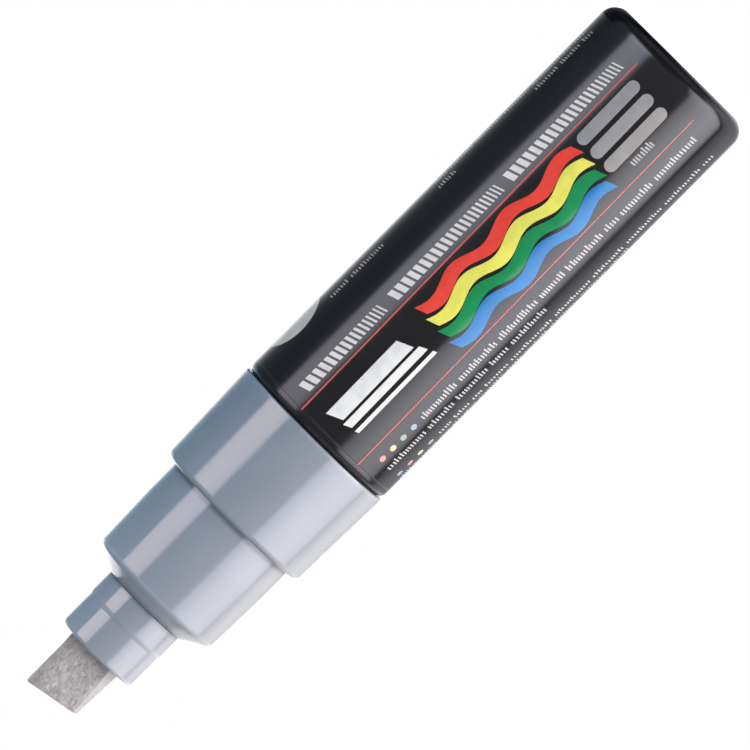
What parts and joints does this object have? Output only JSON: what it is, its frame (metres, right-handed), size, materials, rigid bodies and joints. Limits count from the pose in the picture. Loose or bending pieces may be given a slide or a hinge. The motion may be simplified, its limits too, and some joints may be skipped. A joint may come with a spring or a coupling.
{
  "type": "poster marker",
  "caption": "Upright paint marker: black barrel with a printed film, grey collar and cap seat, and a broad chisel felt nib that presses in to open a sprung valve.",
  "frame": {"origin": "centre of the flat face of the closed end, which the marker stands on", "axes": "+Z along the axis from the closed end to the nib; +X towards the nib's long corner side and -Y towards its writing face, before the nib's own turn about the axis"},
  "size_m": [0.0242, 0.0242, 0.1162],
  "materials": {
    "barrel_black": "glossy moulded black",
    "film_black": "glossy printed film",
    "moulding_grey": "satin gloss moulded grey",
    "felt_grey": "pressed fibre felt soaked with grey paint",
    "valve_white": "natural moulded plastic",
    "seal_rubber": "soft black rubber",
    "spring_steel": "drawn stainless wire",
    "ball_steel": "polished steel"
  },
  "bodies": {
    "body": {"barrel": "barrel_black", "label_film": "film_black", "front_section": "moulding_grey", "barrel_seal": "seal_rubber", "nib_holder": "moulding_grey", "valve_body": "valve_white", "valve_gasket": "seal_rubber", "valve_spring": "spring_steel", "spring_cup": "valve_white"},
    "nib_stroke": {"nib": "felt_grey", "valve_stem": "valve_white"},
    "ball": {"mixing_ball": "ball_steel"}
  },
  "joints": [
    {"name": "nib_press", "type": "slide", "parent": "body", "child": "nib_stroke", "axis": [0, 0, -1], "range_m": [0, 0.002], "stiffness_N_per_m": 1500, "springref_m": -0.002, "deforming": ["valve_spring"]},
    {"name": "ball_shake", "type": "slide", "parent": "body", "child": "ball", "axis": [0, 0, 1], "range_m": [0, 0.05]}
  ]
}
